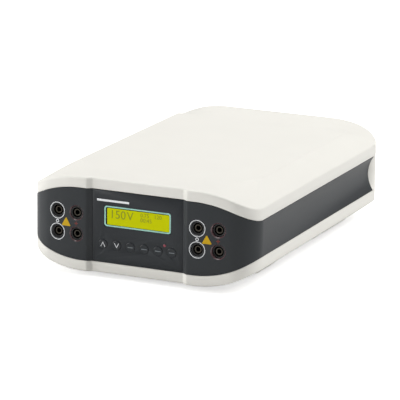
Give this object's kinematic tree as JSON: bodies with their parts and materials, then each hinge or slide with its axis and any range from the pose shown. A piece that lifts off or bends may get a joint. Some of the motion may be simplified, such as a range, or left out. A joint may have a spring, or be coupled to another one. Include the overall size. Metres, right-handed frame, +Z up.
{
  "type": "bench power supply",
  "caption": "Low clamshell bench power supply with a bowed dark front, a lit display, round keys, shrouded output sockets and a rear mains inlet.",
  "frame": {"origin": "on the bench, under the centre of the case", "axes": "+Z up, -Y towards the user, +X to the user's right"},
  "size_m": [0.215, 0.315, 0.0888],
  "materials": {
    "case_plastic": "fine moulded satin",
    "charcoal_plastic": "satin paint on moulded plastic",
    "overlay_film": "printed polyester film",
    "bezel_plastic": "satin",
    "display_glass": "backlit liquid crystal under clear film",
    "circuit_board": "solder resist",
    "lamp_lens": "clear tinted",
    "black_plastic": "moulded satin",
    "key_plastic": "satin",
    "plated_brass": "nickel plated",
    "fuse_glass": "glass tube with plated caps",
    "core_steel": "varnished laminations",
    "coil_tape": "polyester tape",
    "aluminium": "extruded",
    "capacitor_sleeve": "shrink sleeve",
    "foot_rubber": "matt",
    "zinc_steel": "zinc plated"
  },
  "bodies": {
    "case": {"top_cover": "case_plastic", "bottom_tray": "case_plastic", "rear_panel": "case_plastic", "front_fascia": "charcoal_plastic", "side_band_left": "charcoal_plastic", "side_band_right": "charcoal_plastic", "control_overlay": "overlay_film", "display_bezel": "bezel_plastic", "display_glass": "display_glass", "control_board": "circuit_board", "main_board": "circuit_board", "output_board_left": "circuit_board", "output_board_right": "circuit_board", "run_lamp": "lamp_lens", "mains_inlet": "black_plastic", "switch_housing": "black_plastic", "fan_housing": "black_plastic", "inlet_pin_live": "plated_brass", "inlet_pin_neutral": "plated_brass", "inlet_pin_earth": "plated_brass", "transformer_core": "core_steel", "transformer_coil": "coil_tape", "heat_sink": "aluminium", "capacitor_1": "capacitor_sleeve", "capacitor_2": "capacitor_sleeve", "socket_left_black_upper": "black_plastic", "contact_left_black_upper": "plated_brass", "socket_left_black_lower": "black_plastic", "contact_left_black_lower": "plated_brass", "socket_left_red_upper": "black_plastic", "contact_left_red_upper": "plated_brass", "socket_left_red_lower": "black_plastic", "contact_left_red_lower": "plated_brass", "socket_right_black_upper": "black_plastic", "contact_right_black_upper": "plated_brass", "socket_right_black_lower": "black_plastic", "contact_right_black_lower": "plated_brass", "socket_right_red_upper": "black_plastic", "contact_right_red_upper": "plated_brass", "socket_right_red_lower": "black_plastic", "contact_right_red_lower": "plated_brass", "foot_1": "foot_rubber", "case_screw_1": "zinc_steel", "foot_2": "foot_rubber", "case_screw_2": "zinc_steel", "foot_3": "foot_rubber", "case_screw_3": "zinc_steel", "foot_4": "foot_rubber", "case_screw_4": "zinc_steel"},
    "key_up": {"key_up": "key_plastic"},
    "key_down": {"key_down": "key_plastic"},
    "key_set": {"key_set": "key_plastic"},
    "key_mode": {"key_mode": "key_plastic"},
    "key_stop": {"key_stop": "key_plastic"},
    "key_run": {"key_run": "key_plastic"},
    "power_rocker": {"power_rocker": "black_plastic"},
    "fan_rotor": {"fan_rotor": "black_plastic"},
    "fuse_drawer": {"fuse_drawer": "black_plastic", "fuse": "fuse_glass"}
  },
  "joints": [
    {"name": "key_up_press", "type": "slide", "parent": "case", "child": "key_up", "axis": [0, 1, 0], "range_m": [0, 0.001], "stiffness_N_per_m": 600, "springref_m": -0.0005},
    {"name": "key_down_press", "type": "slide", "parent": "case", "child": "key_down", "axis": [0, 1, 0], "range_m": [0, 0.001], "stiffness_N_per_m": 600, "springref_m": -0.0005},
    {"name": "key_set_press", "type": "slide", "parent": "case", "child": "key_set", "axis": [0, 1, 0], "range_m": [0, 0.001], "stiffness_N_per_m": 600, "springref_m": -0.0005},
    {"name": "key_mode_press", "type": "slide", "parent": "case", "child": "key_mode", "axis": [0, 1, 0], "range_m": [0, 0.001], "stiffness_N_per_m": 600, "springref_m": -0.0005},
    {"name": "key_stop_press", "type": "slide", "parent": "case", "child": "key_stop", "axis": [0, 1, 0], "range_m": [0, 0.001], "stiffness_N_per_m": 600, "springref_m": -0.0005},
    {"name": "key_run_press", "type": "slide", "parent": "case", "child": "key_run", "axis": [0, 1, 0], "range_m": [0, 0.001], "stiffness_N_per_m": 600, "springref_m": -0.0005},
    {"name": "power_rocker_tilt", "type": "hinge", "parent": "case", "child": "power_rocker", "pos_m": [0.018, 0.1499, 0.0465], "axis": [1, 0, 0], "range_deg": [0, 16]},
    {"name": "fan_spin", "type": "hinge", "parent": "case", "child": "fan_rotor", "pos_m": [-0.05, 0.1467, 0.0465], "axis": [0, 1, 0], "continuous": true},
    {"name": "fuse_drawer_slide", "type": "slide", "parent": "case", "child": "fuse_drawer", "axis": [0, 1, 0], "range_m": [0, 0.018]}
  ]
}
